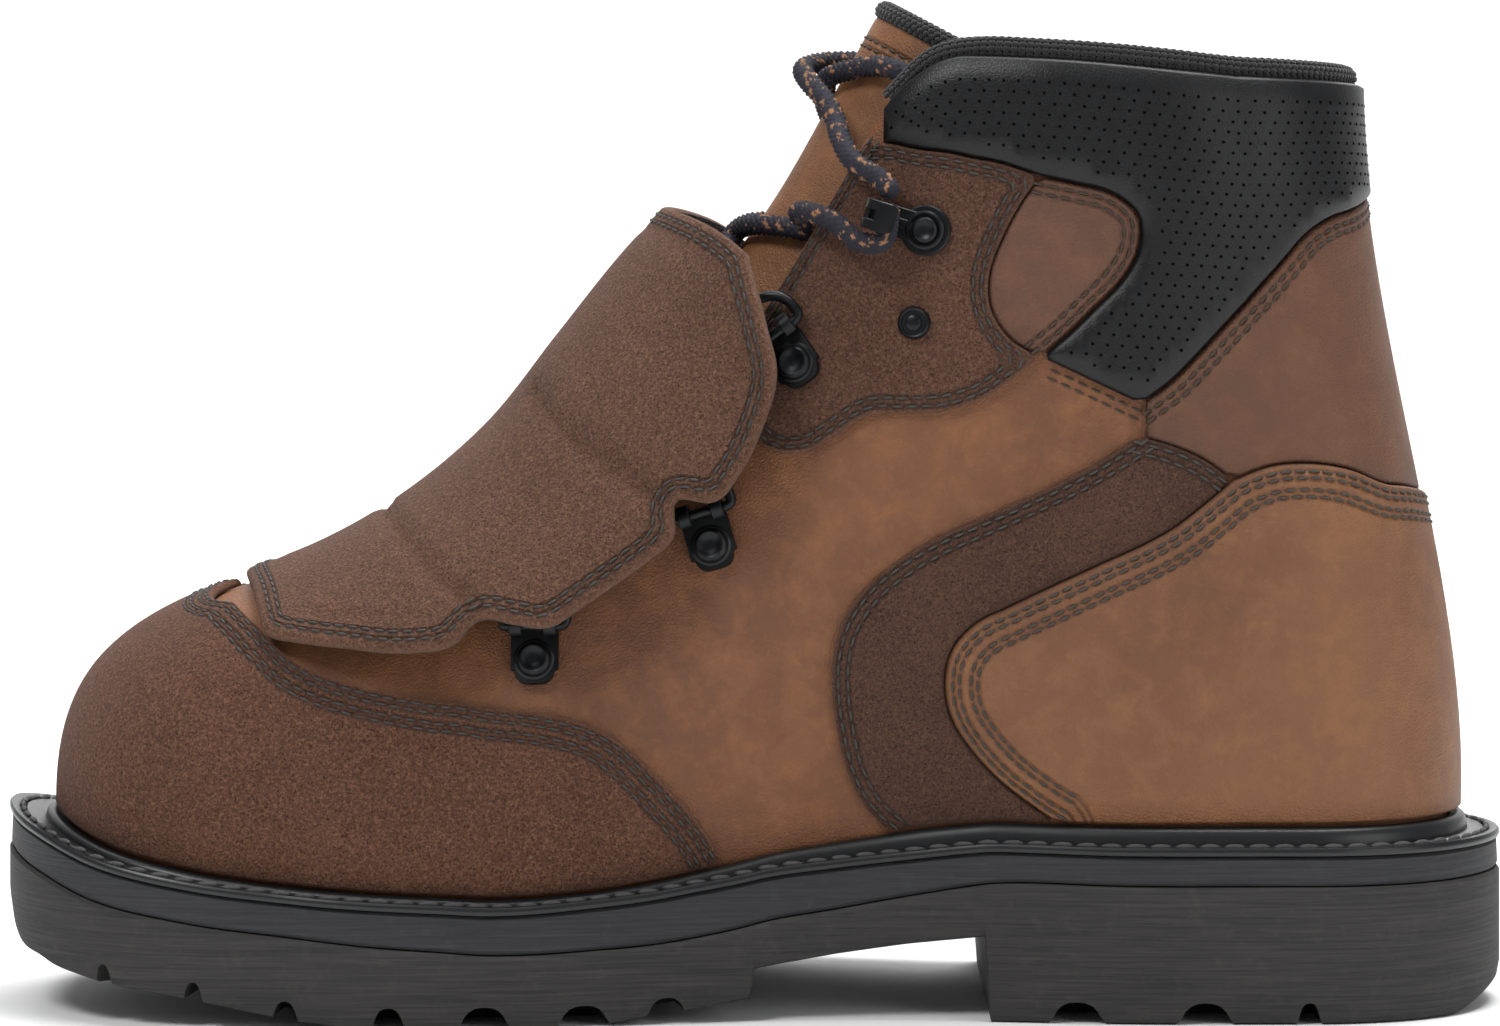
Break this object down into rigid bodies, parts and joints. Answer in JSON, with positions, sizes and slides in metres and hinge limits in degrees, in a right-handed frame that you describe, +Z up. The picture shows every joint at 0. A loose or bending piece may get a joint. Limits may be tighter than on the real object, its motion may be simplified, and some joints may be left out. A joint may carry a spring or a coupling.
{
  "type": "metatarsal guard boot",
  "caption": "Lace-up work boot for the right foot with a stitched toe cap, a padded metatarsal flap over the laces, a padded collar and a lugged rubber sole with a heel.",
  "frame": {"origin": "centre of the bounding box in plan, at the ground under the sole", "axes": "+Z up, -X towards the toe, +X towards the heel, -Y towards the medial side, which the picture shows"},
  "size_m": [0.312, 0.1143, 0.2093],
  "materials": {
    "suede": "rough-out suede, matte",
    "band_leather": "smooth oiled leather, satin",
    "oiled_leather": "oiled pull-up leather, satin",
    "tab_leather": "oiled leather, satin",
    "black_padding": "soft perforated synthetic, satin",
    "knit": "knit binding, matte",
    "sole_rubber": "moulded rubber, matte",
    "midsole_rubber": "moulded rubber, matte",
    "welt_rubber": "moulded rubber, satin",
    "black_metal": "black satin coating",
    "lace_cord": "round braid, matte",
    "insole_cloth": "woven lining, matte"
  },
  "bodies": {
    "root": {"outsole": "sole_rubber", "midsole": "midsole_rubber", "welt": "welt_rubber", "insole": "insole_cloth", "upper": "oiled_leather", "toe_cap": "suede", "heel_counter": "oiled_leather", "heel_quarter": "tab_leather", "collar_pad": "black_padding", "collar_binding": "knit", "tongue": "oiled_leather", "tongue_binding": "knit", "metatarsal_guard": "suede", "lace_bars": "lace_cord", "saddle_band_medial": "band_leather", "eyestay_medial": "suede", "ankle_tab_medial": "tab_leather", "lace_hook_medial": "black_metal", "stud_medial": "black_metal", "lace_end_medial": "lace_cord", "ring_plate_medial_1": "black_metal", "ring_wire_medial_1": "black_metal", "ring_plate_medial_2": "black_metal", "ring_wire_medial_2": "black_metal", "ring_plate_medial_3": "black_metal", "ring_wire_medial_3": "black_metal", "saddle_band_lateral": "band_leather", "eyestay_lateral": "suede", "ankle_tab_lateral": "tab_leather", "lace_hook_lateral": "black_metal", "stud_lateral": "black_metal", "lace_end_lateral": "lace_cord", "ring_plate_lateral_1": "black_metal", "ring_wire_lateral_1": "black_metal", "ring_plate_lateral_2": "black_metal", "ring_wire_lateral_2": "black_metal", "ring_plate_lateral_3": "black_metal", "ring_wire_lateral_3": "black_metal"}
  },
  "joints": []
}
